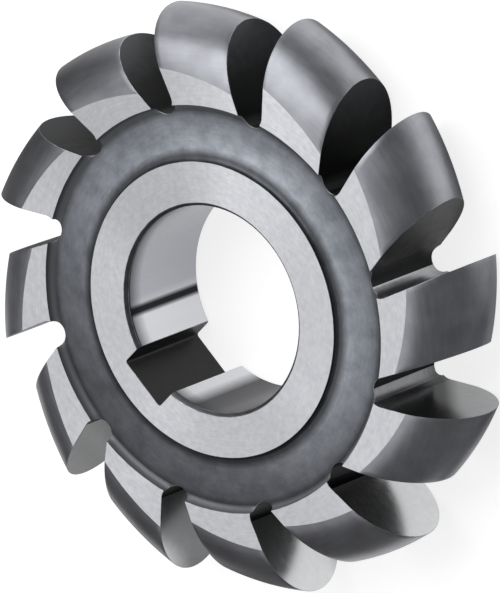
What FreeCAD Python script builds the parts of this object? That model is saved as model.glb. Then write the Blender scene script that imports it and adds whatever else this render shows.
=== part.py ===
import FreeCAD, Part

import math
import os

import Sketcher

# Convex milling cutter, one piece of hardened steel.
# Frame: +Z is the bore axis, the origin is the bore centre on the lower side face, and the keyway
# lies along +Y, in line with the root of one gash. Seen from above the cutter turns
# counter-clockwise, so that side of each tooth carries the cutting face.

NODE = "milling_cutter"

# The driving sizes, in millimetres and degrees.
SIZES = {
    # The convex form: a half circle over the full width, its sides ground back to a narrow flat.
    "outside_diameter": 63.0,
    "form_radius": 6.2,
    "side_grind": 0.04,
    # The hub that clamps between the arbor's spacers.
    "bore_diameter": 22.0,
    "bore_chamfer": 0.35,
    "hub_diameter": 31.4,
    # The turned recess in each side. Its corners are left by the tool's blunt nose.
    "recess_diameter": 43.2,
    "recess_depth": 0.8,
    "recess_corner": 0.6,
    # The teeth and the gashes between them.
    "tooth_count": 12,
    "rake_angle": 10.0,
    "relief_angle": 11.0,
    "gash_angle": 25.0,
    "gash_floor_diameter": 41.4,
    "gash_root_radius": 1.5,
    # The keyway, its floor measured from the bore axis.
    "keyway_width": 6.0,
    "keyway_floor": 13.1,
    "keyway_corner": 0.3,
    # How far a cutting outline runs past the steel, and a turned tooth past its cutting face.
    "cut_clearance": 1.0,
    "lead_in_angle": 0.8,
}

# Lengths and angles that follow from them, as expressions on the sheet.
WIDTH = "(2 * (sizes.form_radius - sizes.side_grind))"
TIP_RADIUS = "(sizes.outside_diameter / 2)"
BORE_RADIUS = "(sizes.bore_diameter / 2)"
HUB_RADIUS = "(sizes.hub_diameter / 2)"
RECESS_RADIUS = "(sizes.recess_diameter / 2)"
PITCH_ANGLE = "(360 deg / sizes.tooth_count)"
RAKE_ANGLE = "(sizes.rake_angle * 1 deg)"
RELIEF_ANGLE = "(sizes.relief_angle * 1 deg)"
GASH_ANGLE = "(sizes.gash_angle * 1 deg)"
LEAD_IN_ANGLE = "(sizes.lead_in_angle * 1 deg)"

# The ring that joins the teeth ends halfway between the recess and the form.
RING_RADIUS = f"(({RECESS_RADIUS} + {TIP_RADIUS} - sizes.form_radius) / 2)"

# The cutting face stands off the bore axis by its rake, and is tangent to the root of its gash,
# whose centre is on the Y axis. So the cutting face leans from the Y axis by the angle RAKE_LEAN.
RAKE_OFFSET = f"({TIP_RADIUS} * sin({RAKE_ANGLE}))"
ROOT_CENTRE = "(sizes.gash_floor_diameter / 2 + sizes.gash_root_radius)"
RAKE_LEAN = f"asin(({RAKE_OFFSET} - sizes.gash_root_radius) / {ROOT_CENTRE})"

# A tooth is turned about a relief axis that stands off the bore axis towards -X, so that its form
# falls away behind the cutting edge. The tip of the cutting edge is measured from that axis.
RELIEF_OFFSET = f"({TIP_RADIUS} * tan({RELIEF_ANGLE}))"
TIP_ACROSS = f"({RELIEF_OFFSET} - {TIP_RADIUS} * sin({RAKE_LEAN} - {RAKE_ANGLE}))"
TIP_ALONG = f"({TIP_RADIUS} * cos({RAKE_LEAN} - {RAKE_ANGLE}))"
TIP_FROM_RELIEF = f"sqrt({TIP_ACROSS} ^ 2 + {TIP_ALONG} ^ 2)"
LEAD_ANGLE = f"(atan({TIP_ACROSS} / {TIP_ALONG}) - {LEAD_IN_ANGLE})"

# Names for the ends of a sketch line, an arc's centre, and the sketch's own axes.
START, END, CENTRE = range(1, 4)
X_AXIS, Y_AXIS = range(-1, -3, -1)
ORIGIN = (X_AXIS, START)

FULL_TURN = math.degrees(math.tau)
TOLERANCE = 1e-4


def make_sheet(doc):
    """Write the driving sizes into the sheet, each cell under its own alias."""
    sheet = doc.addObject("Spreadsheet::Sheet", "sizes")
    for row, (alias, value) in enumerate(SIZES.items(), start=1):
        sheet.set(f"A{row}", alias)
        sheet.set(f"B{row}", str(value))
        sheet.setAlias(f"B{row}", alias)
    doc.recompute()
    return sheet


def measure(expression):
    """The present value of an expression on the sheet, in millimetres or degrees."""
    return FreeCAD.Units.Quantity(sheet.evalExpression(expression)).Value


def new_sketch(body, name, role):
    """A sketch on one of the body's own origin planes."""
    sketch = body.newObject("Sketcher::SketchObject", name)
    plane = next(item for item in body.Origin.OriginFeatures if item.Role == role)
    sketch.AttachmentSupport = [(plane, "")]
    sketch.MapMode = "FlatFace"
    return sketch


def join(sketch, line, end, other, other_end):
    """Make the end of one sketch element meet the end of another."""
    sketch.addConstraint(Sketcher.Constraint("Coincident", line, end, other, other_end))


def drive(sketch, name, expression, kind, *where):
    """Add a constraint whose size follows an expression on the sheet."""
    value = measure(expression)
    if kind == "Angle":
        value = math.radians(value)
    index = sketch.addConstraint(Sketcher.Constraint(kind, *where, value))
    sketch.renameConstraint(index, name)
    sketch.setExpression(f"Constraints.{name}", expression)


def draw_polygon(sketch, corners):
    """Straight lines through the corners, joined end to end."""
    points = [FreeCAD.Vector(x, y, 0) for x, y in corners]
    lines = []
    for start, end in zip(points, points[1:] + points[:1]):
        lines.append(sketch.addGeometry(Part.LineSegment(start, end)))
    for line, following in zip(lines, lines[1:] + lines[:1]):
        join(sketch, line, END, following, START)
    return lines


def draw_rectangle(sketch, name, left, right, bottom, top):
    """A rectangle whose four sides follow expressions on the sheet."""
    x0, x1, y0, y1 = (measure(side) for side in (left, right, bottom, top))
    lines = draw_polygon(sketch, [(x0, y0), (x1, y0), (x1, y1), (x0, y1)])
    for line, kind in zip(lines, ("Horizontal", "Vertical", "Horizontal", "Vertical")):
        sketch.addConstraint(Sketcher.Constraint(kind, line))
    drive(sketch, name + "_left", left, "DistanceX", *ORIGIN, lines[3], START)
    drive(sketch, name + "_right", right, "DistanceX", *ORIGIN, lines[1], START)
    drive(sketch, name + "_bottom", bottom, "DistanceY", *ORIGIN, lines[0], START)
    drive(sketch, name + "_top", top, "DistanceY", *ORIGIN, lines[2], START)
    return lines


def dress_edges(body, kind, name, base, test, size, expression):
    """Fillet or chamfer the edges of the base feature that pass the test."""
    chosen = [f"Edge{i}" for i, edge in enumerate(base.Shape.Edges, start=1) if test(edge)]
    feature = body.newObject(f"PartDesign::{kind}", name)
    feature.Base = (base, chosen)
    feature.setExpression(size, expression)
    doc.recompute()
    return feature


def repeat_around_bore(body, name, feature):
    """Copy a feature around the bore axis, once for each tooth."""
    axis = next(item for item in body.Origin.OriginFeatures if item.Role == "Z_Axis")
    pattern = body.newObject("PartDesign::PolarPattern", name)
    pattern.Originals = [feature]
    pattern.Axis = (axis, [""])
    pattern.Angle = FULL_TURN
    pattern.setExpression("Occurrences", "sizes.tooth_count")
    body.Tip = pattern
    doc.recompute()
    return pattern


def turn_blank(body):
    """The turned disc: bore with its two chamfers, flat sides, and the ring that joins the teeth."""
    sketch = new_sketch(body, "blank_section", "XZ_Plane")
    bore, ring, width = measure(BORE_RADIUS), measure(RING_RADIUS), measure(WIDTH)
    chamfer = measure("sizes.bore_chamfer")
    lines = draw_polygon(sketch, [
        (bore + chamfer, 0), (ring, 0), (ring, width),
        (bore + chamfer, width), (bore, width - chamfer), (bore, chamfer),
    ])
    face, rim, other_face, other_chamfer, wall, near_chamfer = lines
    for line in (face, other_face):
        sketch.addConstraint(Sketcher.Constraint("Horizontal", line))
    for line in (rim, wall):
        sketch.addConstraint(Sketcher.Constraint("Vertical", line))
    sketch.addConstraint(Sketcher.Constraint("PointOnObject", face, START, X_AXIS))
    mouth = f"({BORE_RADIUS} + sizes.bore_chamfer)"
    drive(sketch, "ring_radius", RING_RADIUS, "DistanceX", *ORIGIN, rim, START)
    drive(sketch, "bore_radius", BORE_RADIUS, "DistanceX", *ORIGIN, wall, START)
    drive(sketch, "lower_mouth", mouth, "DistanceX", *ORIGIN, face, START)
    drive(sketch, "upper_mouth", mouth, "DistanceX", *ORIGIN, other_chamfer, START)
    drive(sketch, "width", WIDTH, "DistanceY", *ORIGIN, other_face, START)
    drive(sketch, "lower_chamfer", "sizes.bore_chamfer", "DistanceY", *ORIGIN, near_chamfer, START)
    drive(sketch, "upper_chamfer", f"({WIDTH} - sizes.bore_chamfer)", "DistanceY", *ORIGIN, wall, START)

    blank = body.newObject("PartDesign::Revolution", "blank")
    blank.Profile = sketch
    blank.ReferenceAxis = (sketch, ["V_Axis"])
    blank.Angle = FULL_TURN
    doc.recompute()
    return blank


def turn_tooth(body):
    """One form-relieved tooth: the convex section turned about the relief axis."""
    sketch = new_sketch(body, "tooth_section", "YZ_Plane")
    sketch.AttachmentOffset = FreeCAD.Placement(
        FreeCAD.Vector(0, 0, -measure(RELIEF_OFFSET)),
        FreeCAD.Rotation(FreeCAD.Vector(0, -1, 0), measure(LEAD_ANGLE)),
    )
    sketch.setExpression("AttachmentOffset.Base.z", f"-{RELIEF_OFFSET}")
    sketch.setExpression("AttachmentOffset.Rotation.Angle", LEAD_ANGLE)

    centre_reach = f"({TIP_FROM_RELIEF} - sizes.form_radius)"
    inner, centre, width = measure(RECESS_RADIUS), measure(centre_reach), measure(WIDTH)
    radius = measure("sizes.form_radius")
    swing = math.asin(width / 2 / radius)
    strip_edge = centre + radius * math.cos(swing)
    lower_side = sketch.addGeometry(
        Part.LineSegment(FreeCAD.Vector(inner, 0, 0), FreeCAD.Vector(strip_edge, 0, 0)))
    circle = Part.Circle(FreeCAD.Vector(centre, width / 2, 0), FreeCAD.Vector(0, 0, 1), radius)
    form = sketch.addGeometry(Part.ArcOfCircle(circle, -swing, swing))
    upper_side = sketch.addGeometry(
        Part.LineSegment(FreeCAD.Vector(strip_edge, width, 0), FreeCAD.Vector(inner, width, 0)))
    inner_side = sketch.addGeometry(
        Part.LineSegment(FreeCAD.Vector(inner, width, 0), FreeCAD.Vector(inner, 0, 0)))
    join(sketch, lower_side, END, form, START)
    join(sketch, form, END, upper_side, START)
    join(sketch, upper_side, END, inner_side, START)
    join(sketch, inner_side, END, lower_side, START)
    sketch.addConstraint(Sketcher.Constraint("Horizontal", upper_side))
    sketch.addConstraint(Sketcher.Constraint("Horizontal", lower_side))
    sketch.addConstraint(Sketcher.Constraint("Vertical", inner_side))
    sketch.addConstraint(Sketcher.Constraint("PointOnObject", lower_side, START, X_AXIS))
    drive(sketch, "inner_reach", RECESS_RADIUS, "DistanceX", *ORIGIN, inner_side, START)
    drive(sketch, "width", WIDTH, "DistanceY", *ORIGIN, upper_side, START)
    drive(sketch, "centre_reach", centre_reach, "DistanceX", *ORIGIN, form, CENTRE)
    drive(sketch, "centre_height", f"({WIDTH} / 2)", "DistanceY", *ORIGIN, form, CENTRE)
    drive(sketch, "form_radius", "sizes.form_radius", "Radius", form)

    tooth = body.newObject("PartDesign::Revolution", "tooth")
    tooth.Profile = sketch
    tooth.ReferenceAxis = (sketch, ["V_Axis"])
    tooth.Reversed = True
    tooth.Angle = measure(f"({PITCH_ANGLE} + {LEAD_IN_ANGLE})")
    tooth.setExpression("Angle", f"({PITCH_ANGLE} + {LEAD_IN_ANGLE})")
    doc.recompute()
    return tooth


def turn_recesses(body):
    """The shallow recess turned into each side, between the hub and the teeth."""
    sketch = new_sketch(body, "recess_section", "XZ_Plane")
    draw_rectangle(sketch, "lower", HUB_RADIUS, RECESS_RADIUS,
                   "(-sizes.cut_clearance)", "sizes.recess_depth")
    draw_rectangle(sketch, "upper", HUB_RADIUS, RECESS_RADIUS,
                   f"({WIDTH} - sizes.recess_depth)", f"({WIDTH} + sizes.cut_clearance)")
    groove = body.newObject("PartDesign::Groove", "recesses")
    groove.Profile = sketch
    groove.ReferenceAxis = (sketch, ["V_Axis"])
    groove.Angle = FULL_TURN
    doc.recompute()

    depth, width = measure("sizes.recess_depth"), measure(WIDTH)
    walls = (measure(HUB_RADIUS), measure(RECESS_RADIUS))

    def on_recess_floor(edge):
        if not isinstance(edge.Curve, Part.Circle):
            return False
        height = edge.Curve.Center.z
        on_floor = min(abs(height - depth), abs(height - width + depth)) < TOLERANCE
        return on_floor and min(abs(edge.Curve.Radius - wall) for wall in walls) < TOLERANCE

    return dress_edges(body, "Chamfer", "recess_corners", groove, on_recess_floor,
                       "Size", "sizes.recess_corner")


def cut_gash(body):
    """One gash: the straight cutting face, the rounded root and the back of the tooth ahead."""
    sketch = new_sketch(body, "gash_outline", "XY_Plane")
    root, radius = measure(ROOT_CENTRE), measure("sizes.gash_root_radius")
    rake = math.radians(measure(RAKE_LEAN))
    back = rake + math.radians(measure(GASH_ANGLE))
    mouth_height = f"({TIP_RADIUS} + sizes.cut_clearance)"
    top = measure(mouth_height)

    def tangent_point(lean, side):
        return FreeCAD.Vector(side * radius * math.cos(lean), root + side * radius * math.sin(lean), 0)

    def top_point(foot, lean):
        return FreeCAD.Vector(foot.x - (top - foot.y) * math.tan(lean), top, 0)

    rake_foot, back_foot = tangent_point(rake, 1), tangent_point(back, -1)
    rake_top, back_top = top_point(rake_foot, rake), top_point(back_foot, back)
    cutting_face = sketch.addGeometry(Part.LineSegment(rake_foot, rake_top))
    mouth = sketch.addGeometry(Part.LineSegment(rake_top, back_top))
    tooth_back = sketch.addGeometry(Part.LineSegment(back_foot, back_top))
    circle = Part.Circle(FreeCAD.Vector(0, root, 0), FreeCAD.Vector(0, 0, 1), radius)
    floor = sketch.addGeometry(Part.ArcOfCircle(circle, math.pi + back, 2 * math.pi + rake))

    join(sketch, cutting_face, END, mouth, START)
    join(sketch, mouth, END, tooth_back, END)
    sketch.addConstraint(Sketcher.Constraint("Tangent", floor, END, cutting_face, START))
    sketch.addConstraint(Sketcher.Constraint("Tangent", tooth_back, START, floor, START))
    sketch.addConstraint(Sketcher.Constraint("PointOnObject", floor, CENTRE, Y_AXIS))
    sketch.addConstraint(Sketcher.Constraint("Horizontal", mouth))
    drive(sketch, "root_centre", ROOT_CENTRE, "DistanceY", *ORIGIN, floor, CENTRE)
    drive(sketch, "root_radius", "sizes.gash_root_radius", "Radius", floor)
    drive(sketch, "rake_direction", f"(90 deg + {RAKE_LEAN})", "Angle", cutting_face)
    drive(sketch, "back_direction", f"(90 deg + {RAKE_LEAN} + {GASH_ANGLE})", "Angle", tooth_back)
    drive(sketch, "mouth_height", mouth_height, "DistanceY", *ORIGIN, mouth, START)

    gash = body.newObject("PartDesign::Pocket", "gash")
    gash.Profile = sketch
    gash.Type = "ThroughAll"
    gash.Midplane = True
    doc.recompute()
    return gash


def cut_keyway(body):
    """The keyway, from the bore out to its flat floor, with a small radius in its two corners."""
    sketch = new_sketch(body, "keyway_outline", "XY_Plane")
    half = "(sizes.keyway_width / 2)"
    draw_rectangle(sketch, "keyway", f"(-{half})", half, "0", "sizes.keyway_floor")
    keyway = body.newObject("PartDesign::Pocket", "keyway")
    keyway.Profile = sketch
    keyway.Type = "ThroughAll"
    keyway.Midplane = True
    doc.recompute()

    floor, half_width = measure("sizes.keyway_floor"), measure(half)

    def in_keyway_corner(edge):
        middle = edge.CenterOfMass
        on_floor = abs(middle.y - floor) < TOLERANCE
        return on_floor and abs(abs(middle.x) - half_width) < TOLERANCE

    return dress_edges(body, "Fillet", "keyway_corners", keyway, in_keyway_corner,
                       "Radius", "sizes.keyway_corner")


def check_feature(name, before, after, grows):
    """Stop if a feature left the steel as it was."""
    change = after.Volume - before.Volume
    print(f"{name}: volume {before.Volume:.1f} -> {after.Volume:.1f} mm3")
    if (change > 0) != grows or abs(change) < TOLERANCE:
        raise RuntimeError(f"{name} did not change the cutter as it should")


def make_cutter():
    """The whole cutter, in the order a shop makes it: turned, gashed, relieved and broached."""
    body = doc.addObject("PartDesign::Body", NODE)
    body.Label = NODE
    blank = turn_blank(body)
    teeth = repeat_around_bore(body, "teeth", turn_tooth(body))
    recessed = turn_recesses(body)
    gashed = repeat_around_bore(body, "gashes", cut_gash(body))
    finished = cut_keyway(body)
    body.Tip = finished
    doc.recompute()
    check_feature("teeth", blank.Shape, teeth.Shape, grows=True)
    check_feature("recesses", teeth.Shape, recessed.Shape, grows=False)
    check_feature("gashes", recessed.Shape, gashed.Shape, grows=False)
    check_feature("keyway", gashed.Shape, finished.Shape, grows=False)
    return body


doc = FreeCAD.newDocument("convex_milling_cutter")
sheet = make_sheet(doc)
cutter = make_cutter()

for item in doc.Objects:
    if "Invalid" in item.State or "Error" in item.State:
        raise RuntimeError(f"{item.Name} failed: {item.State}")
shape = cutter.Shape
if shape.isNull() or not shape.isValid() or len(shape.Solids) != 1:
    raise RuntimeError("the cutter is not one valid solid")

os.makedirs("parts", exist_ok=True)
shape.exportStep(f"parts/{cutter.Label}.step")
box = shape.optimalBoundingBox()
print(f"{cutter.Label}: {box.XLength:.3f} x {box.YLength:.3f} x {box.ZLength:.3f} mm, "
      f"{shape.Volume:.1f} mm3")
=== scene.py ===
# %% [markdown]
# # A convex milling cutter
#
# The real cutter is one piece of hardened high-speed steel: a disc with a keyed bore, a shallow
# recess turned into each side, and twelve form-relieved teeth whose section is half a circle.
# The CAD model holds its sizes. Here the same form is built again with rounded arrises and with
# one finish for each way that the steel was worked, and then it is lit as in a plain studio.

import math

import bmesh
import bpy
from mathutils import Matrix, Vector


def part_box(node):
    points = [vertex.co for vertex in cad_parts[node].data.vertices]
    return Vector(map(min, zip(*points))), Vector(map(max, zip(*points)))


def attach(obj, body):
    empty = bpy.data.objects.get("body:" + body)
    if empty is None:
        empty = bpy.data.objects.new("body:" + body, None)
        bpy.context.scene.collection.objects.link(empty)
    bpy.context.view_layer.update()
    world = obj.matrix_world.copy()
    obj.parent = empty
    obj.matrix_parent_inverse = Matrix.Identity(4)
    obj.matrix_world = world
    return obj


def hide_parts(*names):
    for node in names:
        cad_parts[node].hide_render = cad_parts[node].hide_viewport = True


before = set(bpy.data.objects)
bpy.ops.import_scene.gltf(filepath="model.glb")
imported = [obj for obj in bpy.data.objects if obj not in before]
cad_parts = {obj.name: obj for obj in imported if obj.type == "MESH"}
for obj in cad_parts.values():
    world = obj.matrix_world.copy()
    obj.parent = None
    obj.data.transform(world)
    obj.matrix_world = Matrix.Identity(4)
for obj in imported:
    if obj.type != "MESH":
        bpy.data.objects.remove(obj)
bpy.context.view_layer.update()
low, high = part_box("milling_cutter")
MM = 0.001
WIDTH = (high.z - low.z) / MM
print(f"CAD cutter: {(high.x - low.x) / MM:.2f} mm across, {WIDTH:.2f} mm wide")

# %% [markdown]
# ## The sizes
#
# These are the driving sizes of the real cutter in millimetres and degrees, as in the CAD model.
# Angles around the bore are measured clockwise from the keyway, as seen from above. Each gash lies
# at a whole number of pitches, and the tooth behind it starts at its straight cutting face.

# %% The driving sizes
OUTSIDE_RADIUS = 31.5
FORM_RADIUS = 6.2
BORE_RADIUS = 11.0
BORE_CHAMFER = 0.35
HUB_RADIUS = 15.7
RECESS_RADIUS = 21.6
RECESS_DEPTH = 0.85
RECESS_DISH = 0.022
DEEPEST_RADIUS = 20.0
RECESS_FILLET = 0.78
HUB_FILLET = 0.45
TOOTH_COUNT = 12
RAKE_ANGLE = math.radians(10)
RELIEF_ANGLE = math.radians(11)
GASH_ANGLE = math.radians(25)
GASH_FLOOR_RADIUS = 20.7
GASH_ROOT_RADIUS = 1.5
KEYWAY_HALF_WIDTH = 3.0
KEYWAY_FLOOR = 13.1
KEYWAY_CORNER = 0.3
ARRIS = 0.04

PITCH = math.tau / TOOTH_COUNT
ROOT_CENTRE = GASH_FLOOR_RADIUS + GASH_ROOT_RADIUS
RAKE_OFFSET = OUTSIDE_RADIUS * math.sin(RAKE_ANGLE)
RAKE_LEAN = math.asin((RAKE_OFFSET - GASH_ROOT_RADIUS) / ROOT_CENTRE)
BACK_LEAN = RAKE_LEAN + GASH_ANGLE
BACK_OFFSET = ROOT_CENTRE * math.sin(BACK_LEAN) - GASH_ROOT_RADIUS
print(f"cutting face leans {math.degrees(RAKE_LEAN):.1f} degrees, tooth back {math.degrees(BACK_LEAN):.1f}")

# %% [markdown]
# ## A small mesher
#
# A lathe and a few booleans could make this body, but booleans leave slivers that spoil rounded
# edges. Instead every surface is laid out on purpose, as a grid or as one flat polygon, and
# neighbours share their points. Points are kept by place, so two faces that name the same place
# are welded there. A zone is the finish that a face will get.

# %% Points, faces and the turn from one gash to the next
ZONES = ("side", "form", "rake", "root", "back", "recess", "bore", "chamfer", "keyway", "arris")
SAME_PLACE = 4

mesh = bmesh.new()
placed = {}


def point(place):
    """The mesh point at a place in millimetres, made once."""
    key = tuple(round(c, SAME_PLACE) + 0.0 for c in place)
    if key not in placed:
        placed[key] = mesh.verts.new([c * MM for c in place])
    return placed[key]


def face(zone, places):
    """A face through the places, given the finish of its zone."""
    corners = []
    for place in places:
        corner = point(place)
        if corner not in corners:
            corners.append(corner)
    made = mesh.faces.new(corners)
    made.material_index = ZONES.index(zone)
    made.smooth = True
    return made


def strip_of_quads(zone, first, second):
    """Four-sided faces between two rows of places of the same length."""
    return [face(zone, (first[i], first[i + 1], second[i + 1], second[i]))
            for i in range(len(first) - 1)]


def turned(flat, gash):
    """A place in the plane of the first gash, turned clockwise to another gash."""
    angle = -gash * PITCH
    x, y = flat
    return (x * math.cos(angle) - y * math.sin(angle), x * math.sin(angle) + y * math.cos(angle))


def at_depth(flat, depth, top):
    """A flat place at a depth below the upper or the lower side face."""
    return (flat[0], flat[1], WIDTH - depth if top else depth)


def spread(start, end, steps):
    """Evenly spaced numbers from start to end, both included."""
    return [start + (end - start) * i / steps for i in range(steps + 1)]


# %% [markdown]
# ## The outline of a gash
#
# One gash is a straight cutting face, a round root and the straight back of the tooth ahead. The
# root dips into the side recess, so the outline is asked for by its distance from the bore axis:
# at each distance there is one place on the cutting side and one on the back side.

# %% Places on the gash outline
def on_line(lean, offset, distance):
    """The place on a straight flank at a distance from the bore axis."""
    along = math.sqrt(distance ** 2 - offset ** 2)
    return (offset * math.cos(lean) - along * math.sin(lean),
            offset * math.sin(lean) + along * math.cos(lean))


def on_root(angle):
    """The place on the round root in a direction from its centre."""
    return (GASH_ROOT_RADIUS * math.cos(angle), ROOT_CENTRE + GASH_ROOT_RADIUS * math.sin(angle))


def root_angle(distance):
    """The direction, on the cutting side, in which the root is at a distance from the bore axis."""
    rise = distance ** 2 - ROOT_CENTRE ** 2 - GASH_ROOT_RADIUS ** 2
    return math.asin(rise / (2 * ROOT_CENTRE * GASH_ROOT_RADIUS))


RAKE_FOOT = RAKE_LEAN
BACK_FOOT = BACK_LEAN - math.pi
ROOT_BOTTOM = -math.pi / 2
BACK_FOOT_DISTANCE = math.hypot(*on_root(BACK_FOOT))


def cutting_side(distance):
    """The gash outline on its cutting side, within the recess."""
    return on_root(root_angle(distance))


def back_side(distance):
    """The gash outline on the side of the tooth ahead, within the recess."""
    if distance >= BACK_FOOT_DISTANCE:
        return on_line(BACK_LEAN, BACK_OFFSET, distance)
    return on_root(-math.pi - root_angle(distance))


def clock(flat):
    """The angle of a flat place, clockwise from the keyway."""
    return math.atan2(flat[0], flat[1])


def around(distance, start, end, steps):
    """Places on a circle about the bore, from one clock angle to another."""
    return [(distance * math.sin(a), distance * math.cos(a)) for a in spread(start, end, steps)]


print(f"gash floor {GASH_FLOOR_RADIUS} mm from the axis, back foot {BACK_FOOT_DISTANCE:.2f} mm")

# %% [markdown]
# ## The convex teeth
#
# The teeth are what makes this a form cutter. Each one is turned about an axis of its own, off to
# one side of the bore, so that the half-round form falls away behind the cutting edge and can be
# sharpened on its flat face without changing its shape. The form is a grid: one way it follows
# the half circle, the other way it follows the turning from the cutting face to the back.

# %% The relieved form
ROWS_ACROSS = 56
ROWS_ALONG = 14

relief_offset = OUTSIDE_RADIUS * math.tan(RELIEF_ANGLE)
tip_across = relief_offset - OUTSIDE_RADIUS * math.sin(RAKE_LEAN - RAKE_ANGLE)
tip_along = OUTSIDE_RADIUS * math.cos(RAKE_LEAN - RAKE_ANGLE)
form_centre = math.hypot(tip_across, tip_along) - FORM_RADIUS
half_arc = math.asin(WIDTH / 2 / FORM_RADIUS)


def form_turn(reach, lean, offset):
    """The angle about the relief axis at which a reach from it meets a straight flank."""
    return math.asin((offset + relief_offset * math.cos(lean)) / reach) - lean


def form_row(section):
    """Places along the tooth, from cutting face to back, at one angle of its half-round section."""
    reach = form_centre + FORM_RADIUS * math.cos(section)
    start = form_turn(reach, RAKE_LEAN, RAKE_OFFSET)
    end = form_turn(reach, BACK_LEAN - PITCH, BACK_OFFSET)
    height = WIDTH / 2 + FORM_RADIUS * math.sin(section)
    return [(reach * math.sin(a) - relief_offset, reach * math.cos(a), height)
            for a in spread(start, end, ROWS_ALONG)]


form_rows = [form_row(section) for section in spread(-half_arc, half_arc, ROWS_ACROSS)]
thickness = math.dist(form_rows[ROWS_ACROSS // 2][0], form_rows[ROWS_ACROSS // 2][-1])
print(f"tooth {thickness:.2f} mm thick at its tip, form over {2 * math.degrees(half_arc):.0f} degrees")

# %% [markdown]
# ## One tooth and its share of the recess
#
# A pitch holds one tooth, the gash wall before it and the part of the recess below it. The flat
# side of the tooth, its cutting face and its back are one polygon each, because they are truly
# flat. The recess fillet is stepped in rings, and each ring stops where it meets the gash.

# %% Rings of the recess fillets
FILLET_STEPS = 6
ROOT_STEPS = 5
COLUMNS = 12
FLOOR_STEPS = 8
GAP_AT_GASHES = 0.3
FLOOR_EDGE = RECESS_RADIUS - RECESS_FILLET
HUB_FLOOR_EDGE = HUB_RADIUS + HUB_FILLET
LAST_FLOOR_RING = GASH_FLOOR_RADIUS - GAP_AT_GASHES


def floor_depth(distance):
    """The depth of the dished recess floor at a distance from the bore axis."""
    return RECESS_DEPTH - RECESS_DISH * (distance - DEEPEST_RADIUS) ** 2


fillet = [(math.cos(a), 1 - math.sin(a)) for a in spread(0, math.pi / 2, FILLET_STEPS)]
outer_rings = [(FLOOR_EDGE + across * RECESS_FILLET, floor_depth(FLOOR_EDGE) - rise * RECESS_FILLET)
               for across, rise in fillet]
hub_rings = [(HUB_FLOOR_EDGE - across * HUB_FILLET, floor_depth(HUB_FLOOR_EDGE) - rise * HUB_FILLET)
             for across, rise in fillet]
floor_rings = [(distance, floor_depth(distance))
               for distance in spread(HUB_FLOOR_EDGE, LAST_FLOOR_RING, FLOOR_STEPS)]


def ring_between_gashes(distance, gash):
    """Places on a circle from the cutting side of a gash to the back side of the one after it."""
    start = clock(cutting_side(distance))
    end = clock(back_side(distance)) + PITCH
    return [turned(flat, gash) for flat in around(distance, start, end, COLUMNS)]


# The round root is met in three stretches: at full width, within the fillet and on the floor.
upper_root = [on_root(a) for a in spread(RAKE_FOOT, root_angle(RECESS_RADIUS), ROOT_STEPS)]
floor_root = [on_root(a) for a in spread(root_angle(FLOOR_EDGE), ROOT_BOTTOM, ROOT_STEPS)]
floor_back = [on_root(a) for a in spread(ROOT_BOTTOM, -math.pi - root_angle(FLOOR_EDGE), ROOT_STEPS)]
print(f"{len(fillet)} fillet rings, gash root in {2 * ROOT_STEPS} steps on the recess floor")


# %% One pitch of the cutter
# The root is bright only in this part, given by its direction from the root's centre; the rest gets the
# black scale of the tooth backs as painted shade.
BRIGHT_ROOT_PART = math.radians(-75), math.radians(15)


def root_zone(flat):
    """The finish of the round root at a place: bright in one part, painted shade elsewhere."""
    angle = math.atan2(flat[1] - ROOT_CENTRE, flat[0])
    return "root" if BRIGHT_ROOT_PART[0] < angle < BRIGHT_ROOT_PART[1] else "back"


def gash_wall(gash):
    """The round root of a gash, from the foot of the cutting face to the foot of the tooth back."""
    shoulder = outer_rings[0][1]
    outline = [(flat, 0) for flat in upper_root[:-1]]
    outline += [(cutting_side(distance), depth) for distance, depth in outer_rings[:-1]]
    outline += [(flat, floor_depth(math.hypot(*flat))) for flat in floor_root + floor_back[1:]]
    outline += [(back_side(distance), depth) for distance, depth in reversed(outer_rings[:-1])]
    zones = [root_zone(flat) for flat, depth in outline]
    outline = [(turned(flat, gash), depth) for flat, depth in outline]
    for zone, (flat, depth), (next_flat, next_depth) in zip(zones, outline, outline[1:]):
        places = [at_depth(flat, depth, True), at_depth(next_flat, next_depth, True),
                  at_depth(next_flat, next_depth, False), at_depth(flat, depth, False)]
        if depth == 0 and next_depth == shoulder:
            places.insert(1, at_depth(next_flat, 0, True))
            places.insert(4, at_depth(next_flat, 0, False))
        face(zone, places)


def recess_pitch(gash, top):
    """The recess wall, its fillet and the floor between two gashes."""
    wall = ring_between_gashes(RECESS_RADIUS, gash)
    rings = [[at_depth(flat, 0, top) for flat in wall]]
    for distance, depth in outer_rings:
        rings.append([at_depth(flat, depth, top) for flat in ring_between_gashes(distance, gash)])
    for first, second in zip(rings, rings[1:]):
        strip_of_quads("recess", first, second)
    outer = [turned(flat, gash) for flat in reversed(floor_root)]
    outer += ring_between_gashes(FLOOR_EDGE, gash)[1:-1]
    outer += [turned(flat, gash + 1) for flat in reversed(floor_back)]
    floor = outer + hub_circle(LAST_FLOOR_RING, gash)[::-1]
    face("recess", [at_depth(flat, floor_depth(math.hypot(*flat)), top) for flat in floor])


def tooth(gash):
    """The tooth behind a gash: its relieved form, two flat sides, cutting face and back."""
    rows = [[(*turned(place[:2], gash), place[2]) for place in row] for row in form_rows]
    for lower_row, upper_row in zip(rows, rows[1:]):
        strip_of_quads("form", lower_row, upper_row)
    foot = turned(upper_root[0], gash)
    shoulder = outer_rings[0][1]
    back_corner = turned(back_side(RECESS_RADIUS), gash + 1)
    face("rake", [at_depth(foot, 0, False), *[row[0] for row in rows], at_depth(foot, 0, True)])
    face("back", [at_depth(back_corner, 0, False), *[row[-1] for row in rows],
                  at_depth(back_corner, 0, True), at_depth(back_corner, shoulder, True),
                  at_depth(back_corner, shoulder, False)])
    inner = ring_between_gashes(RECESS_RADIUS, gash)[::-1]
    root = [turned(flat, gash) for flat in reversed(upper_root[:-1])]
    for row, top in ((rows[-1], True), (rows[0], False)):
        face("side", row + [at_depth(flat, 0, top) for flat in inner + root])


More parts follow.
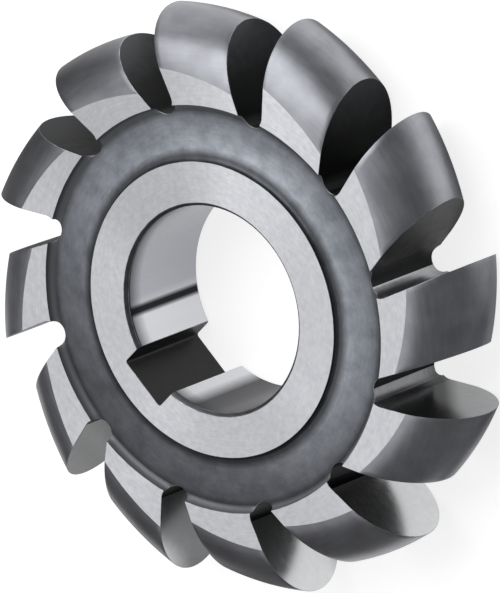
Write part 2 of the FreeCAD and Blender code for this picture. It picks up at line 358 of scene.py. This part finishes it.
# %% [markdown]
# ## The hub, bore and keyway
#
# These are rings about the bore, so they are built column by column. The columns are 2.5 degrees
# apart, apart from a few at the keyway, where they pass through its corners. That keeps the keyway
# in the same grid as the round hub, with no boolean.

# %% Columns around the hub
HUB_STEP = math.radians(2.5)
KEYWAY_COLUMNS = 5
CORNER_STEPS = 4
CHAMFER_RADIUS = BORE_RADIUS + BORE_CHAMFER

mouth_height = math.sqrt(CHAMFER_RADIUS ** 2 - KEYWAY_HALF_WIDTH ** 2)
wall_height = math.sqrt(BORE_RADIUS ** 2 - KEYWAY_HALF_WIDTH ** 2)
corner_centre = (KEYWAY_HALF_WIDTH - KEYWAY_CORNER, KEYWAY_FLOOR - KEYWAY_CORNER)
corner_arc = [(corner_centre[0] + KEYWAY_CORNER * math.sin(a),
               corner_centre[1] + KEYWAY_CORNER * math.cos(a))
              for a in spread(0, math.pi / 2, CORNER_STEPS)]
keyway_end = (KEYWAY_HALF_WIDTH, mouth_height)
floor_angles = [i * HUB_STEP for i in range(KEYWAY_COLUMNS)]
half_keyway = [(KEYWAY_FLOOR * math.tan(a), KEYWAY_FLOOR) for a in floor_angles]
half_keyway += corner_arc + [keyway_end]
keyway = [(-x, y) for x, y in reversed(half_keyway[1:])] + half_keyway

keyway_angles = [clock(flat) for flat in keyway]
round_angles = [i * HUB_STEP for i in range(round(math.tau / HUB_STEP))]
round_angles = [a for a in round_angles if keyway_angles[-1] < a < math.tau + keyway_angles[0]]
all_angles = sorted([a % math.tau for a in keyway_angles] + round_angles)


def in_pitch(angle, gash):
    """Whether a clock angle lies within the pitch behind a gash, both ends included."""
    small = HUB_STEP / 100
    return gash * PITCH - small < angle < (gash + 1) * PITCH + small


def hub_circle(distance, gash):
    """Places on a hub circle over one pitch, at the hub's own columns."""
    angles = [a for a in all_angles if in_pitch(a, gash)]
    if gash == TOOTH_COUNT - 1:
        angles.append(math.tau)
    return [(distance * math.sin(a), distance * math.cos(a)) for a in angles]


def full_circle(distance, angles):
    """Places on a whole circle at the given columns, the first one repeated at the end."""
    places = [(distance * math.sin(a), distance * math.cos(a)) for a in angles]
    return places + places[:1]


print(f"{len(all_angles)} hub columns, {len(keyway)} of them at the keyway")


# %% The hub and bore
def hub_side(top):
    """Hub wall and fillet, the clamping face, and the bore's chamfer at one side."""
    rings = [[at_depth(flat, 0, top) for flat in full_circle(HUB_RADIUS, all_angles)]]
    for distance, depth in hub_rings + floor_rings[1:]:
        rings.append([at_depth(flat, depth, top) for flat in full_circle(distance, all_angles)])
    for first, second in zip(rings, rings[1:]):
        strip_of_quads("recess", first, second)

    mouth = [(CHAMFER_RADIUS * math.sin(a), CHAMFER_RADIUS * math.cos(a)) for a in round_angles]
    outline = sorted(keyway + mouth, key=lambda flat: clock(flat) % math.tau)
    for gash in range(TOOTH_COUNT):
        inner = [flat for flat in outline if in_pitch(clock(flat) % math.tau, gash)]
        if gash == TOOTH_COUNT - 1:
            inner.append(outline[0])
        places = inner + hub_circle(HUB_RADIUS, gash)[::-1]
        face("side", [at_depth(flat, 0, top) for flat in places])
    chamfer_top = [keyway[-1]] + mouth + [keyway[0]]
    strip_of_quads("chamfer", [at_depth(flat, 0, top) for flat in chamfer_top],
                   [at_depth(flat, BORE_CHAMFER, top) for flat in bore_outline])


bore_outline = [(KEYWAY_HALF_WIDTH, wall_height)]
bore_outline += [(BORE_RADIUS * math.sin(a), BORE_RADIUS * math.cos(a)) for a in round_angles]
bore_outline += [(-KEYWAY_HALF_WIDTH, wall_height)]

for gash in range(TOOTH_COUNT):
    tooth(gash)
    gash_wall(gash)
for top in (True, False):
    hub_side(top)
    for gash in range(TOOTH_COUNT):
        recess_pitch(gash, top)
strip_of_quads("bore", [at_depth(flat, BORE_CHAMFER, True) for flat in bore_outline],
               [at_depth(flat, BORE_CHAMFER, False) for flat in bore_outline])
keyway_floor = keyway[1:-1]
strip_of_quads("keyway", [at_depth(flat, 0, True) for flat in keyway_floor],
               [at_depth(flat, 0, False) for flat in keyway_floor])
for end, bore_edge, corner in ((keyway[-1], bore_outline[0], keyway[-2]),
                               (keyway[0], bore_outline[-1], keyway[1])):
    face("keyway", [at_depth(corner, 0, True), at_depth(end, 0, True),
                    at_depth(bore_edge, BORE_CHAMFER, True), at_depth(bore_edge, BORE_CHAMFER, False),
                    at_depth(end, 0, False), at_depth(corner, 0, False)])

bmesh.ops.recalc_face_normals(mesh, faces=mesh.faces)
open_edges = [edge for edge in mesh.edges if len(edge.link_faces) != 2]
print(f"{len(mesh.faces)} faces, {len(open_edges)} open edges, "
      f"{mesh.calc_volume() / MM ** 3:.1f} mm3 of steel")

# %% [markdown]
# ## Sharp lines and rounded arrises
#
# Where the half-round form runs into the ground side it leaves a faint line, because the side is
# ground a little below the full half circle. That line stays a crease. Every true edge gets a
# tiny round instead, as real arrises have, so that it can catch the light. The bevel's loop slide
# is off, because at the foot of a tooth back it would throw one corner up over the side.

# %% Make the object
CREASE = math.radians(3)
EDGE = math.radians(28)

for edge in mesh.edges:
    zones = {side.material_index for side in edge.link_faces}
    if len(zones) == 2 and CREASE < edge.calc_face_angle() < EDGE:
        edge.smooth = False

cutter_data = bpy.data.meshes.new("cutter_steel")
mesh.to_mesh(cutter_data)
mesh.free()
cutter = bpy.data.objects.new("cutter_steel", cutter_data)
bpy.context.scene.collection.objects.link(cutter)

rounding = cutter.modifiers.new("arrises", "BEVEL")
rounding.limit_method = "ANGLE"
rounding.angle_limit = EDGE
rounding.width = ARRIS * MM
rounding.segments = 2
rounding.use_clamp_overlap = True
rounding.loop_slide = False
rounding.material = ZONES.index("arris")
weighting = cutter.modifiers.new("flat faces stay flat", "WEIGHTED_NORMAL")
weighting.keep_sharp = True

# %% [markdown]
# ## Finishes
#
# High-speed steel is bright where it was ground after hardening and grey to black where the
# oxide of the heat treatment is left. So the clamping faces, tooth sides, cutting faces and bore
# are bright, the relieved forms are satin, and recesses, gashes and keyway are dark.
#
# Some finishes are painted darker or lighter in some directions from the bore, mostly as painted
# shade and painted reflections. Such a direction is given as an azimuth in degrees, counter-clockwise
# from the X axis as seen from above, and it is fixed to the cutter. A pair of numbers after two
# colours says where the first ends and the second begins.

# %% Colours and nodes
def linear(code):
    """An sRGB hex colour as the linear values that the shader works with."""
    values = [int(code[i:i + 2], 16) / 255 for i in (1, 3, 5)]
    return (*[v / 12.92 if v <= 0.04045 else ((v + 0.055) / 1.055) ** 2.4 for v in values], 1)


def add(tree, kind, inputs=None, **settings):
    """Add one node, set its properties, and set or link its inputs."""
    node = tree.nodes.new(kind)
    for name, value in settings.items():
        setattr(node, name, value)
    for name, value in (inputs or {}).items():
        if isinstance(value, bpy.types.NodeSocket):
            tree.links.new(value, node.inputs[name])
        else:
            node.inputs[name].default_value = value
    return node


def new_material(name):
    """A material with nothing but an output, its tree, and the place on the object in millimetres."""
    material = bpy.data.materials.new(name)
    material.use_nodes = True
    tree = material.node_tree
    tree.nodes.clear()
    add(tree, "ShaderNodeOutputMaterial")
    place = add(tree, "ShaderNodeTexCoord").outputs["Object"]
    place = add(tree, "ShaderNodeVectorMath", {0: place, "Scale": 1 / MM}, operation="SCALE").outputs[0]
    return material, tree, place


def around_bore(tree, place):
    """The heading from the bore axis, the distance from it, and the height."""
    parts = add(tree, "ShaderNodeSeparateXYZ", {0: place}).outputs
    flat = add(tree, "ShaderNodeCombineXYZ", {"X": parts["X"], "Y": parts["Y"]}).outputs[0]
    heading = add(tree, "ShaderNodeVectorMath", {0: flat}, operation="NORMALIZE").outputs[0]
    distance = add(tree, "ShaderNodeVectorMath", {0: flat}, operation="LENGTH").outputs["Value"]
    return heading, distance, parts["Z"]


def polar_place(tree, place, turns, across):
    """A seamless place for marks that run around the bore: long around it and fine across it."""
    heading, distance, _ = around_bore(tree, place)
    heading = add(tree, "ShaderNodeVectorMath", {0: heading, "Scale": turns}, operation="SCALE").outputs[0]
    distance = add(tree, "ShaderNodeMath", {0: distance, 1: across}, operation="MULTIPLY").outputs[0]
    lifted = add(tree, "ShaderNodeCombineXYZ", {"Z": distance}).outputs[0]
    return add(tree, "ShaderNodeVectorMath", {0: heading, 1: lifted}, operation="ADD").outputs[0]


def facing(tree, place, azimuth):
    """How far a place lies towards an azimuth in degrees: 1 there, -1 on the other side of the bore."""
    middle = (math.cos(math.radians(azimuth)), math.sin(math.radians(azimuth)), 0)
    return add(tree, "ShaderNodeVectorMath", {0: around_bore(tree, place)[0], 1: middle},
               operation="DOT_PRODUCT").outputs["Value"]


# Sockets of a Mix node that mixes colours; their names repeat, so they go by number.
FACTOR, FIRST, SECOND, RESULT = 0, 6, 7, 2


def shade(tree, factor, dark, light, low=0.0, high=1.0):
    """A colour between two sRGB colours, by a factor that runs from low to high."""
    stretched = add(tree, "ShaderNodeMapRange", {"Value": factor, "From Min": low, "From Max": high})
    return add(tree, "ShaderNodeMix", {FACTOR: stretched.outputs[0], FIRST: linear(dark),
                                       SECOND: linear(light)}, data_type="RGBA").outputs[RESULT]


def multiply(tree, first, second):
    """One colour darkened by another."""
    return add(tree, "ShaderNodeMix", {FACTOR: 1.0, FIRST: first, SECOND: second},
               data_type="RGBA", blend_type="MULTIPLY").outputs[RESULT]


def noise(tree, place, scale, detail=2.0, roughness=0.5):
    """A seeded noise at a scale per millimetre."""
    return add(tree, "ShaderNodeTexNoise", {"Vector": place, "Scale": scale, "Detail": detail,
                                            "Roughness": roughness}).outputs["Fac"]


def bumped(tree, height, depth):
    """A normal that follows a height, with its full depth in millimetres."""
    return add(tree, "ShaderNodeBump", {"Strength": 1.0, "Distance": depth * MM,
                                        "Height": height}).outputs[0]


def rough(tree, factor, low, high):
    """A roughness that a noise moves between two values."""
    return add(tree, "ShaderNodeMapRange", {"Value": factor, "From Min": 0.3, "From Max": 0.7,
                                            "To Min": low, "To Max": high}).outputs[0]


finishes = {}


def finish(zone, material, **inputs):
    """Give a material the steel's shader with its inputs, and keep it for a zone."""
    tree = material.node_tree
    inputs = {name.replace("_", " "): value for name, value in inputs.items()}
    shader = add(tree, "ShaderNodeBsdfPrincipled", inputs)
    tree.links.new(shader.outputs[0], tree.nodes["Material Output"].inputs[0])
    finishes[zone] = material


print(f"finishes to make: {', '.join(ZONES)}")

# %% [markdown]
# The clamping faces and the sides of the teeth are ground flat, so they reflect as a bright satin
# with very fine marks that run around the bore. The marks spread a reflection across them.

# %% Ground steel of the sides
# The real marks are about 0.02 mm apart, too fine to show, so these are drawn 0.2 mm apart.
SIDE_MARKS = 16, 4.5
# Painted shade: the sides and clamping faces are darker towards these two azimuths.
SHADED_SIDES = (-14, "#e2e2e2"), (149, "#ececec")

material, tree, place = new_material("high_speed_steel_surface_ground")
marks = noise(tree, polar_place(tree, place, *SIDE_MARKS), 1, 3, 0.6)
cloud = noise(tree, place, 1.6, 3)
colour = multiply(tree, shade(tree, marks, "#c2c3c7", "#d2d3d6", 0.3, 0.7),
                  shade(tree, cloud, "#f0f0f2", "#ffffff", 0.3, 0.7))
# Multiply in the painted shade towards each azimuth.
for azimuth, darkest in SHADED_SIDES:
    grey = shade(tree, facing(tree, place, azimuth), "#ffffff", darkest, 0.75, 0.97)
    colour = multiply(tree, colour, grey)
tangent = add(tree, "ShaderNodeTangent", direction_type="RADIAL", axis="Z").outputs[0]
finish("side", material, Base_Color=colour, Metallic=1.0, Roughness=rough(tree, marks, 0.3, 0.36),
       Anisotropic=0.5, Anisotropic_Rotation=0.25, Tangent=tangent, Normal=bumped(tree, marks, 0.001))

# %% [markdown]
# The half-round forms are relief-turned and then hardened, which leaves a thin grey oxide. They
# are satin, with faint marks that run along each tooth from its cutting edge to its back. The
# teeth at two azimuths are painted a little darker, as painted shade.

# %% Grey satin steel of the relieved forms
# The real marks are finer than a tenth of a millimetre, so these are drawn 0.4 mm apart to show.
FORM_TURNS, FORM_MARKS = 5, 2.6
# Painted shade: the forms are darker towards these two azimuths.
FORM_SHADE_DEEP, FORM_SHADE_SOFT = 128, 4

material, tree, place = new_material("high_speed_steel_relief_turned")
height = add(tree, "ShaderNodeMath", {0: around_bore(tree, place)[2], 1: FORM_MARKS},
             operation="MULTIPLY").outputs[0]
marks = add(tree, "ShaderNodeTexNoise", {"Vector": polar_place(tree, place, FORM_TURNS, FORM_MARKS),
                                         "W": height, "Scale": 1.0, "Detail": 4.0, "Roughness": 0.6},
            noise_dimensions="4D").outputs["Fac"]
cloud = noise(tree, place, 0.35, 3)
colour = multiply(tree, shade(tree, marks, "#94969b", "#9ea0a5", 0.3, 0.7),
                  shade(tree, cloud, "#eceaec", "#ffffff", 0.35, 0.65))
for azimuth, darkest, low, high in ((FORM_SHADE_DEEP, "#cccbcc", 0.2, 1.0), (FORM_SHADE_SOFT, "#dadada", 0.6, 0.95)):
    colour = multiply(tree, colour, shade(tree, facing(tree, place, azimuth), "#ffffff", darkest, low, high))
finish("form", material, Base_Color=colour, Metallic=1.0, Roughness=rough(tree, marks, 0.35, 0.41),
       Normal=bumped(tree, marks, 0.001))

# %% [markdown]
# The cutting faces are ground mirror-bright by the sharpening wheel. The roots of the gashes are
# bright only around one azimuth and nearly black elsewhere, and in each root the part next to the
# tooth back gets the black scale as painted shade. The backs of the teeth are only milled, so they
# keep the black scale of the furnace, painted darker deep in the gash and lighter towards the tips
# as painted shade. The keyway is broached and the bore's chamfer turned before hardening, and both are dark
# too.

# %% Cutting faces and gash roots
BRIGHT_ROOTS = -130

material, tree, place = new_material("high_speed_steel_face_ground")
marks = noise(tree, place, 1.4, 4)
finish("rake", material, Base_Color=shade(tree, marks, "#e2e3e5", "#eaebec", 0.3, 0.7), Metallic=1.0,
       Roughness=rough(tree, marks, 0.17, 0.21))

material, tree, place = new_material("high_speed_steel_root_ground")
marks = noise(tree, place, 1.4, 4)
# The roots are darkened to near black away from the azimuth BRIGHT_ROOTS.
ground = shade(tree, facing(tree, place, BRIGHT_ROOTS), "#303032", "#ffffff", 0.78, 0.9)
finish("root", material, Metallic=1.0, Roughness=rough(tree, marks, 0.3, 0.4),
       Base_Color=multiply(tree, shade(tree, marks, "#c8c9cc", "#dcdde0", 0.3, 0.7), ground))

# %% Dark keyway, chamfer and tooth backs
for zone, name, dark, light, metallic in (
        ("keyway", "high_speed_steel_broached_oxide", "#242424", "#303031", 0.5),
        ("chamfer", "high_speed_steel_chamfer_oxide", "#4a4c50", "#585a5e", 0.7)):
    material, tree, place = new_material(name)
    cloud = noise(tree, place, 1.1, 4)
    finish(zone, material, Base_Color=shade(tree, cloud, dark, light, 0.35, 0.65), Metallic=metallic,
           Roughness=rough(tree, cloud, 0.4, 0.5), Normal=bumped(tree, cloud, 0.004))

# Painted shade: the backs are darkest deep in the gash and lighter towards the tips between these distances
# from the bore axis, and clouds move the border.
GASH_SHADE = 26.5, 34.0
SCALE_DRIFT = 4.0

material, tree, place = new_material("high_speed_steel_black_scale")
cloud = noise(tree, place, 0.9, 4)
distance = add(tree, "ShaderNodeMath", {0: cloud, 1: SCALE_DRIFT, 2: around_bore(tree, place)[1]},
               operation="MULTIPLY_ADD").outputs[0]
finish("back", material, Base_Color=shade(tree, distance, "#1d1e1f", "#525457", *GASH_SHADE),
       Metallic=0.7, Roughness=rough(tree, cloud, 0.38, 0.46), Normal=bumped(tree, cloud, 0.003))

# %% [markdown]
# The recess is turned and never ground. It keeps a blue-grey oxide with soft clouds. It is darker in
# the hub's fillet and on one side of the bore as painted shade, darker at its rim by the outer wall
# as painted shade over a darker oxide, and darker towards the teeth. The outer wall is matt and dark.

# %% Blue-grey oxide of the recess
# Turning marks about 0.1 mm apart are too fine to show, so these are drawn 0.25 mm apart.
RECESS_MARKS = 12, 4
# Painted shade by the hub's fillet, between these distances from the bore axis.
HUB_SHADE = 16.3, 17.1
# The recess gets darker towards the teeth between these distances.
DARKER_OUTWARDS = 17.2, 20.5
# Painted shade over a darker oxide at the rim by the outer wall.
RIM_SHADE = 20.3, 21.0
WALL = 20.9, 21.3
# Painted shade: the recess is darker towards this azimuth.
SHADED_RECESS_SIDE = 114

material, tree, place = new_material("high_speed_steel_turned_oxide")
distance = around_bore(tree, place)[1]
marks = noise(tree, polar_place(tree, place, *RECESS_MARKS), 1, 3, 0.6)
cloud = noise(tree, place, 0.5, 5, 0.6)
outwards = multiply(tree, shade(tree, distance, "#8c8c8c", "#ffffff", *HUB_SHADE),
                    shade(tree, distance, "#ffffff", "#c0c0c0", *DARKER_OUTWARDS))
outwards = multiply(tree, outwards, shade(tree, distance, "#ffffff", "#a0a0a0", *RIM_SHADE))
# Painted shade on one side of the bore.
thick = shade(tree, facing(tree, place, SHADED_RECESS_SIDE), "#ffffff", "#b4b2b2", -0.15, 0.85)
outwards = multiply(tree, outwards, thick)
colour = multiply(tree, multiply(tree, shade(tree, cloud, "#878b93", "#a3a7af", 0.35, 0.65), outwards),
                  shade(tree, marks, "#ececec", "#ffffff", 0.3, 0.7))
wall = add(tree, "ShaderNodeMapRange", {"Value": distance, "From Min": WALL[0],
                                        "From Max": WALL[1]}).outputs[0]
colour = add(tree, "ShaderNodeMix", {FACTOR: wall, FIRST: colour, SECOND: linear("#6c6e72")},
             data_type="RGBA").outputs[RESULT]
metallic = add(tree, "ShaderNodeMath", {0: wall, 1: -0.75, 2: 0.85}, operation="MULTIPLY_ADD").outputs[0]
tangent = add(tree, "ShaderNodeTangent", direction_type="RADIAL", axis="Z").outputs[0]
finish("recess", material, Base_Color=colour, Metallic=metallic, Roughness=rough(tree, cloud, 0.34, 0.4),
       Anisotropic=0.4, Anisotropic_Rotation=0.25, Tangent=tangent, Normal=bumped(tree, marks, 0.002))

# %% [markdown]
# The bore is ground to its size. It is bright along its length, but the photograph shows a narrow
# dark ring at its mouth, a dark line along it on one side of the keyway and a darker part on the
# other side. Here the ring is a darker band just below the chamfer, the line is a painted dark
# reflection, the darker part is painted shade, and the bore is painted brighter towards the keyway
# as a painted reflection. All but the ring are fixed to the bore by their azimuths.

# %% Ground steel of the bore
# The bore is darker just below the chamfer, fading out further down.
MOUTH_RING = 0.12, 0.34
MOUTH = 0.2, 2.2
# Painted reflection: the bore is brighter towards the keyway and darker away from it.
KEYWAY_TURN = 90
NEAR_KEYWAY = 0.74, 0.86
# Painted dark reflection: a narrow line along the bore at this azimuth.
BAND_TURN = 55
BAND_COSINES = math.cos(math.radians(3.6)), math.cos(math.radians(1.2))
# Painted shade: a darker part of the bore around this azimuth.
SHADE_TURN = 150
SHADE_COSINES = math.cos(math.radians(38)), math.cos(math.radians(29))

material, tree, place = new_material("high_speed_steel_bore_ground")
marks = noise(tree, polar_place(tree, place, 3, 1), 1, 3)
height = around_bore(tree, place)[2]
from_top = add(tree, "ShaderNodeMath", {0: WIDTH - BORE_CHAMFER, 1: height}, operation="SUBTRACT").outputs[0]
mouth = multiply(tree, shade(tree, from_top, "#2c2c2e", "#ffffff", *MOUTH_RING),
                 shade(tree, from_top, "#8a8a8d", "#ffffff", *MOUTH))
colour = multiply(tree, shade(tree, marks, "#dcdde1", "#e6e7ea", 0.3, 0.7), mouth)
bright = shade(tree, facing(tree, place, KEYWAY_TURN), "#cccdd0", "#ffffff", *NEAR_KEYWAY)
colour = multiply(tree, colour, bright)
for turn, cosines, darkest in ((BAND_TURN, BAND_COSINES, "#2e2e30"), (SHADE_TURN, SHADE_COSINES, "#525256")):
    colour = multiply(tree, colour, shade(tree, facing(tree, place, turn), "#ffffff", darkest, *cosines))
finish("bore", material, Base_Color=colour, Metallic=1.0, Roughness=rough(tree, marks, 0.24, 0.32),
       Normal=bumped(tree, marks, 0.0005))

# %% [markdown]
# Every arris is a narrow strip where the finish is rubbed down towards bright steel.

# %% Rubbed arrises
material, tree, place = new_material("high_speed_steel_rubbed_edge")
wear = noise(tree, place, 0.8, 3)
finish("arris", material, Base_Color=shade(tree, wear, "#707174", "#b4b5b7", 0.35, 0.65),
       Metallic=1.0, Roughness=0.35)

for zone in ZONES:
    cutter_data.materials.append(finishes[zone])
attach(cutter, "root")
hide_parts("milling_cutter")
print(f"{len(cutter_data.materials)} finishes on {cutter.name}")

# %% [markdown]
# ## The camera
#
# The photograph looks down on the upper side at about 50 degrees from far away, with a long lens,
# and the picture is rolled. The camera is turned by three angles: around the bore, down towards
# it, and about its own view line.

# %% Place the camera
PHOTO_WIDTH, PHOTO_HEIGHT = 500, 593
FOCAL_PIXELS = 8753
CAMERA_DISTANCE = 901.7
VIEW_TURN = math.radians(110.78)
VIEW_TILT = math.radians(39.826)
VIEW_ROLL = math.radians(20.750)
AIM = (-4.027, -1.418)

view = (Matrix.Rotation(VIEW_ROLL, 3, "Z") @ Matrix.Rotation(-VIEW_TILT, 3, "Y")
        @ Matrix.Rotation(VIEW_TURN, 3, "Z"))
place = view.transposed() @ Vector((-AIM[0], -AIM[1], CAMERA_DISTANCE)) + Vector((0, 0, WIDTH))
camera_data = bpy.data.cameras.new("camera")
camera_data.lens = camera_data.sensor_width * FOCAL_PIXELS / PHOTO_HEIGHT
camera = bpy.data.objects.new("camera", camera_data)
camera.location = place * MM
camera.rotation_mode = "QUATERNION"
camera.rotation_quaternion = view.transposed().to_quaternion()
bpy.context.scene.collection.objects.link(camera)
bpy.context.scene.camera = camera
camera_turn = math.atan2(place.y, place.x)
print(f"camera {place.length:.0f} mm away, lens {camera_data.lens:.0f} mm")

# %% [markdown]
# ## Floor and light
#
# The floor is a plain white sheet that keeps the cutter's shadow. Three soft boxes light the
# steel: the key from the upper edge of the picture, which draws the bright bands along the nearest
# teeth, one behind, which the flat sides reflect, and a small low one. The room around them stays
# dim, so that the satin steel reads dark between the bands. Their directions are turned from the
# camera's side of the cutter, so that they can be thought of as on the photographer's plan.

# %% Directions seen from the camera's side
def direction(turn, height):
    """A direction from the cutter, turned from the camera's side and raised, in degrees."""
    azimuth = camera_turn + math.radians(turn)
    elevation = math.radians(height)
    return Vector((math.cos(azimuth) * math.cos(elevation), math.sin(azimuth) * math.cos(elevation),
                   math.sin(elevation)))


def by_ray(tree, seen, reflected):
    """One strength for rays from the camera or through glass, and another for reflected rays."""
    path = add(tree, "ShaderNodeLightPath").outputs
    direct = add(tree, "ShaderNodeMath", {0: path["Is Camera Ray"], 1: path["Is Transmission Ray"]},
                 operation="MAXIMUM").outputs[0]
    direct = add(tree, "ShaderNodeMath", {0: direct, 1: seen}, operation="MULTIPLY").outputs[0]
    return add(tree, "ShaderNodeMath", {0: path["Is Glossy Ray"], 1: reflected, 2: direct},
               operation="MULTIPLY_ADD").outputs[0]


# %% [markdown]
# The floor is a matt card that glows, as a lit table does, so that it is white and its shadow stays
# soft. Steel would reflect all of that glow, but the real steel shows bright and dark parts of a
# studio. So for reflected rays the card glows only in patches, each laid out by its direction and
# its distance from the bore axis in millimetres.

# %% A floor whose glow can be laid out
FLOOR_SIZE = 4.0
CARD = "#a9a9a9"
DARK_CARD = "#707070"
GLOW = 0.8

bpy.ops.mesh.primitive_plane_add(size=FLOOR_SIZE)
floor = bpy.context.object
floor.name = "floor"
material, tree, place = new_material("white_light_table")
distance = add(tree, "ShaderNodeVectorMath", {0: place}, operation="LENGTH").outputs["Value"]
heading = add(tree, "ShaderNodeVectorMath", {0: place}, operation="NORMALIZE").outputs[0]


def towards(turn, low, high, darkest, lightest):
    """A share of the glow that rises with the facing of a place on the floor to a direction."""
    share = add(tree, "ShaderNodeVectorMath", {0: heading, 1: direction(turn, 0)},
                operation="DOT_PRODUCT").outputs["Value"]
    return add(tree, "ShaderNodeMapRange", {"Value": share, "From Min": low, "From Max": high,
                                            "To Min": darkest, "To Max": lightest}).outputs[0]


def combine(operation, first, second):
    """Two numbers put together by a Math node."""
    return add(tree, "ShaderNodeMath", {0: first, 1: second}, operation=operation).outputs[0]


def rising(start, end, first, last):
    """A number that goes from one value to another between two distances from the bore axis."""
    return add(tree, "ShaderNodeMapRange", {"Value": distance, "From Min": start, "From Max": end,
                                            "To Min": first, "To Max": last}).outputs[0]


# %% The patches that the steel reflects
# Under the cutter the card glows on one side and below the bore, with a dimmer patch between.
beyond = rising(31.5, 33.5, 0.0, 1.0)
under = combine("MULTIPLY", rising(31.5, 33.5, 1.0, 0.0), towards(-50, 0.62, 0.72, 0.07, 0.68))
patch = combine("MULTIPLY", rising(21.5, 23.5, 0.6, 0.37), towards(-30, 0.9, 0.97, 0.0, 1.0))
under = combine("MAXIMUM", combine("SUBTRACT", under, patch), rising(13, 15, 0.68, 0.0))

# Beyond the cutter there is a bright patch beside it, one before it and one behind it. The first
# fades with distance, and a dark end of the card, which only reflected rays see, is a painted dark
# reflection that dims them.
dark = combine("MULTIPLY", beyond, towards(124, 0.89, 0.97, 0.0, 1.0))
fading = combine("MAXIMUM", rising(42, 62, 1.0, 0.35), towards(100, 0.866, 0.966, 0.0, 1.0))
beside = combine("MULTIPLY", fading, towards(55, 0.15, 0.6, 0.0, 0.98))
before = combine("MULTIPLY", rising(41, 47, 1.0, 0.0), towards(-94, 0.906, 0.97, 0.0, 0.98))
behind = combine("MULTIPLY", rising(43, 49, 0.0, 1.0), rising(60, 76, 1.0, 0.0))
behind = combine("MULTIPLY", behind, towards(-165, 0.84, 0.93, 0.0, 0.9))
around_it = combine("MAXIMUM", combine("MAXIMUM", beside, before), behind)
around_it = combine("MULTIPLY", around_it, combine("SUBTRACT", 1.0, combine("MULTIPLY", dark, 0.4)))
reflected = combine("MAXIMUM", under, combine("MULTIPLY", beyond, around_it))

# %% Finish the floor
glow = by_ray(tree, rising(36, 70, GLOW, 1.0), reflected)
# Painted dark reflection: reflected rays see the card darker at its dark end.
dark_end = combine("MULTIPLY", add(tree, "ShaderNodeLightPath").outputs["Is Glossy Ray"], dark)
card = add(tree, "ShaderNodeBsdfDiffuse", {"Color": shade(tree, dark_end, CARD, DARK_CARD)}).outputs[0]
light = add(tree, "ShaderNodeEmission", {"Strength": glow}).outputs[0]
both = add(tree, "ShaderNodeAddShader", {0: card, 1: light}).outputs[0]
tree.links.new(both, tree.nodes["Material Output"].inputs[0])
floor.data.materials.append(material)
print(f"floor {FLOOR_SIZE:.0f} m square, {len(tree.nodes)} nodes in its material")


# %% Lights
def soft_box(name, turn, height, distance, size, brightness):
    """A rectangular lamp in a direction from the cutter, facing it.

    Such a lamp looks as bright as its power over four times its area.
    """
    lamp = bpy.data.lights.new(name, "AREA")
    lamp.shape = "RECTANGLE"
    lamp.size, lamp.size_y = size[0] * MM, size[1] * MM
    lamp.energy = 4 * brightness * lamp.size * lamp.size_y
    holder = bpy.data.objects.new(name, lamp)
    away = direction(turn, height)
    holder.location = away * distance * MM
    holder.rotation_mode = "QUATERNION"
    holder.rotation_quaternion = away.to_track_quat("Z", "Y")
    bpy.context.scene.collection.objects.link(holder)
    print(f"{name}: {lamp.energy:.1f} W")


soft_box("key_box", 88, 52, 450, (450, 390), 1.9)
soft_box("back_box", 181, 60, 500, (435, 325), 0.85)
soft_box("low_box", 101, 9, 500, (170, 110), 1.5)

ROOM = 0.22

world = bpy.data.worlds.new("dim_room")
world.use_nodes = True
tree = world.node_tree
background = tree.nodes["Background"]
background.inputs["Color"].default_value = linear("#ffffff")
seen = add(tree, "ShaderNodeLightPath").outputs["Is Camera Ray"]
strength = add(tree, "ShaderNodeMapRange", {"Value": seen, "To Min": ROOM, "To Max": 1.0}).outputs[0]
tree.links.new(strength, background.inputs["Strength"])
bpy.context.scene.world = world
bpy.context.scene.view_settings.view_transform = "Standard"
